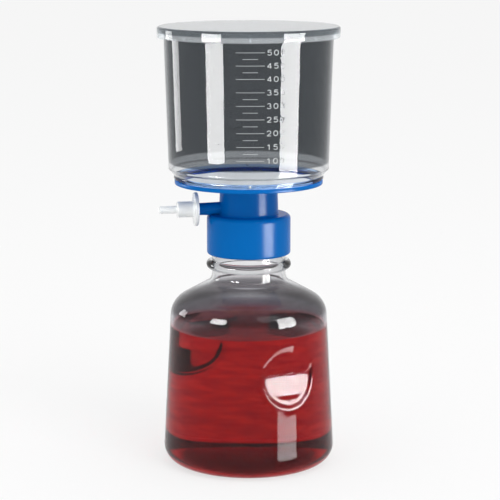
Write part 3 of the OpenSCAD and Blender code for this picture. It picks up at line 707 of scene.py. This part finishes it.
lid_ribs = skin("lid_ribs", *[lid_rib(np.radians(scale_turn + 45 * i)) for i in range(8)])
hazy, tree, shader = material("hazy_polystyrene", Roughness=0.03, IOR=1.2, Transmission_Weight=0.85)
moulded(tree, shader, 5 * mm, 0.05 * mm, stretch=(0.2, 1, 1))
through_tint(tree, shader)
# The grey absorption darkens the lid further, as painted shade
smoky(tree, (0.4, 0.42, 0.43), 110)
lit_through(tree, shader, (0.92, 0.92, 0.92))
# The band above the skirt's lower edge and the top are painted dark as painted shade
skirt_haze, painted_shade_band, painted_shade_top = (0.93, 0.96, 0.98), (0.4, 0.44, 0.47), (0.45, 0.49, 0.53)
for piece in (lid, lid_ribs):
    tinted(piece, [
        (lid_z0, skirt_haze), (lid_z0 + 2.7 * mm, skirt_haze), (lid_z0 + 3.2 * mm, painted_shade_band),
        (lid_top - 1.4 * mm, painted_shade_band), (lid_top - 0.8 * mm, painted_shade_top)])
    piece.data.materials.append(hazy)
    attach(piece, "lid")
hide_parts("lid")

# ---------------------------------------------------------------------------
# Tubing adapter. A semi-matt white fitting pushed on the arm: a finger flange, a barrel
# and the nozzle for the vacuum hose.

finger_x, barrel_x, nozzle_x = 29.9 * mm, 32.1 * mm, 42.0 * mm
finger_r, barrel_r, nozzle_r, nozzle_bore = 9.75 * mm, 4.6 * mm, 2.2 * mm, 1.3 * mm
nozzle_tip, socket_end = -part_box("tubing_adapter")[0].x, 39.5 * mm
fitting = skin("tubing_adapter", along_arm(profile(
    (3.15 * mm, finger_x), (5 * mm, finger_x), (8 * mm, finger_x),
    arc(finger_r - 0.6 * mm, finger_x + 0.6 * mm, 0.6 * mm, -90, 0, 8),
    arc(finger_r - 0.6 * mm, barrel_x - 0.6 * mm, 0.6 * mm, 0, 90, 8),
    (8 * mm, barrel_x), (6.4 * mm, barrel_x),
    arc(barrel_r + 0.9 * mm, barrel_x + 0.9 * mm, 0.9 * mm, -90, -180, 8),
    line((barrel_r, barrel_x + 1.4 * mm), (barrel_r, nozzle_x - 1.2 * mm), 4),
    arc(barrel_r - 0.8 * mm, nozzle_x - 0.8 * mm, 0.8 * mm, 0, 90, 8),
    arc(nozzle_r + 0.3 * mm, nozzle_x + 0.3 * mm, 0.3 * mm, -90, -180, 4),
    line((nozzle_r, nozzle_x + 0.8 * mm), (nozzle_r, nozzle_tip - 0.7 * mm), 4),
    arc(nozzle_r - 0.4 * mm, nozzle_tip - 0.4 * mm, 0.4 * mm, 0, 90, 6),
    arc(nozzle_bore + 0.15 * mm, nozzle_tip - 0.15 * mm, 0.15 * mm, 90, 180, 3),
    line((nozzle_bore, nozzle_tip - 0.6 * mm), (nozzle_bore, socket_end + 0.2 * mm), 4),
    (nozzle_bore, socket_end), (3.1 * mm, socket_end), (3.15 * mm, socket_end - 0.1 * mm)), round_arm),
    closed=True)
white, tree, shader = material(
    "white_polypropylene", Base_Color=(0.78, 0.8, 0.8), Roughness=0.38,
    Subsurface_Weight=0.2, Subsurface_Radius=(1.0, 1.0, 1.0), Subsurface_Scale=0.8 * mm)
moulded(tree, shader, 0.6 * mm, 0.008 * mm, detail=4.0)
fitting.data.materials.append(white)
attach(fitting, "tubing_adapter")
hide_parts("tubing_adapter")

# ---------------------------------------------------------------------------
# Floor. A wide plain pale sheet, which keeps the soft shadow and reads as near white
# in the camera, in gloss and through clear plastic.

floor_half, floor_z = 8, -0.1 * mm
corners = [(x * floor_half, y * floor_half, floor_z) for x, y in ((-1, -1), (1, -1), (1, 1), (-1, 1))]
floor_mesh = bpy.data.meshes.new("floor")
floor_mesh.from_pydata(corners, [], [(0, 1, 2, 3)])
floor = bpy.data.objects.new("floor", floor_mesh)
bpy.context.scene.collection.objects.link(floor)


def seen(tree):
    """1 for camera, glossy and transmission rays, and 0 for the others."""
    path = tree.nodes.new("ShaderNodeLightPath")
    either = tree.nodes.new("ShaderNodeMath")
    either.operation = "MAXIMUM"
    any_ray = tree.nodes.new("ShaderNodeMath")
    any_ray.operation = "MAXIMUM"
    tree.links.new(path.outputs["Is Camera Ray"], either.inputs[0])
    tree.links.new(path.outputs["Is Glossy Ray"], either.inputs[1])
    tree.links.new(either.outputs[0], any_ray.inputs[0])
    tree.links.new(path.outputs["Is Transmission Ray"], any_ray.inputs[1])
    return any_ray.outputs[0]


pale, tree, shader = material(
    "pale_floor", Base_Color=(0.9, 0.9, 0.9), Roughness=0.8, Specular_IOR_Level=0.0)
glow = tree.nodes.new("ShaderNodeEmission")
share = tree.nodes.new("ShaderNodeMath")
share.operation = "MULTIPLY"
share.inputs[1].default_value = 0.65
mix = tree.nodes.new("ShaderNodeMixShader")
tree.links.new(seen(tree), share.inputs[0])
tree.links.new(share.outputs[0], mix.inputs["Fac"])
tree.links.new(shader.outputs[0], mix.inputs[1])
tree.links.new(glow.outputs[0], mix.inputs[2])
tree.links.new(mix.outputs[0], tree.nodes["Material Output"].inputs["Surface"])
floor.data.materials.append(pale)

# ---------------------------------------------------------------------------
# Studio. An even white surround, a soft key from the right and above, a fill from the left,
# and strip boxes at both sides that only gloss shows. The tall strips end below the lid's
# top, which would mirror them, and the blue moulding has a lower one of its own.

world = bpy.data.worlds.new("studio")
bpy.context.scene.world = world
world.use_nodes = True
tree = world.node_tree
surround = tree.nodes["Background"]
surround.inputs["Color"].default_value = (1, 1, 1, 1)
surround.inputs["Strength"].default_value = 0.85
backdrop = tree.nodes.new("ShaderNodeBackground")
backdrop.inputs["Color"].default_value = (1, 1, 1, 1)
mix = tree.nodes.new("ShaderNodeMixShader")
tree.links.new(seen(tree), mix.inputs["Fac"])
tree.links.new(surround.outputs[0], mix.inputs[1])
tree.links.new(backdrop.outputs[0], mix.inputs[2])
tree.links.new(mix.outputs[0], tree.nodes["World Output"].inputs["Surface"])

# The camera stands 9 degrees to the left of the front, which faces -Y
view_turn = -9


def soft_box(name, turn, distance, low, width, height, radiance, gloss_only=True, tilt=0.0):
    """A flat lamp that faces the axis, turn degrees to the right of the camera and tilted down by
    tilt degrees, with its lower edge at low. Its power is pi times its area times its radiance."""
    lamp = bpy.data.lights.new(name, "AREA")
    lamp.shape = "RECTANGLE"
    lamp.size = width
    lamp.size_y = height
    lamp.energy = np.pi * width * height * radiance
    box = bpy.data.objects.new(name, lamp)
    bpy.context.scene.collection.objects.link(box)
    a = np.radians(view_turn + turn)
    middle = low + height / 2 * np.cos(np.radians(tilt))
    box.location = (distance * np.sin(a), -distance * np.cos(a), middle)
    box.rotation_euler = (np.radians(90 - tilt), 0, a)
    box.visible_camera = False
    box.visible_transmission = False
    box.visible_diffuse = not gloss_only
    return box


def linked(name, pieces, state):
    """A set of pieces that a lamp lights alone (INCLUDE) or all of which it leaves out (EXCLUDE)."""
    group = bpy.data.collections.new(name)
    for piece in pieces:
        group.objects.link(piece)
    for member in group.collection_objects:
        member.light_linking.link_state = state
    return group


blue_pieces = (adapter, adapter_arm, drain_ribs)
blue_only = linked("blue_only", blue_pieces, "INCLUDE")
all_but_blue = linked("all_but_blue", blue_pieces, "EXCLUDE")
strip_away, strip_turn, strip_glow = 0.263, 53.8, 80.0
right_strip = soft_box(
    "right_strip", strip_turn, strip_away, low=0.066, width=0.125, height=0.184, radiance=strip_glow)
right_strip.light_linking.receiver_collection = all_but_blue
blue_strip = soft_box(
    "blue_strip", strip_turn, strip_away, low=0.066, width=0.125, height=0.078, radiance=strip_glow)
blue_strip.light_linking.receiver_collection = blue_only
soft_box("right_low_strip", 45.5, 0.149, low=0.002, width=0.064, height=0.022, radiance=25.0)
soft_box("right_foot_strip", 40, 0.095, low=0.0, width=0.036, height=0.012, radiance=24.0)
left_strip = soft_box(
    "left_strip", -43, strip_away, low=0.138, width=0.11, height=0.112, radiance=strip_glow)
left_strip.light_linking.receiver_collection = all_but_blue
soft_box("left_edge", -112, 0.4, low=0.125, width=0.11, height=0.125, radiance=14.0)
soft_box("key", 35, 1.8, low=1.2, width=1.2, height=1.2, radiance=4.0, gloss_only=False, tilt=45)
fill = soft_box("fill", -45, 1.6, low=0.1, width=1.0, height=1.0, radiance=1.0, gloss_only=False)
fill.visible_glossy = False

bounces = bpy.context.scene.cycles
bounces.max_bounces = bounces.transmission_bounces = bounces.glossy_bounces = 40

camera = bpy.data.cameras.new("camera")
camera.lens = 135.68
camera.sensor_width = 36
camera.shift_x = 0.0026
eye_away, eye_height, look_down = 1.0798, 0.3263, 10.54
eye = bpy.data.objects.new("camera", camera)
bpy.context.scene.collection.objects.link(eye)
away = np.radians(view_turn)
eye.location = (eye_away * np.sin(away), -eye_away * np.cos(away), eye_height)
eye.rotation_euler = (np.radians(90 - look_down), 0, away)
bpy.context.scene.camera = eye
bpy.context.scene.view_settings.view_transform = "Standard"
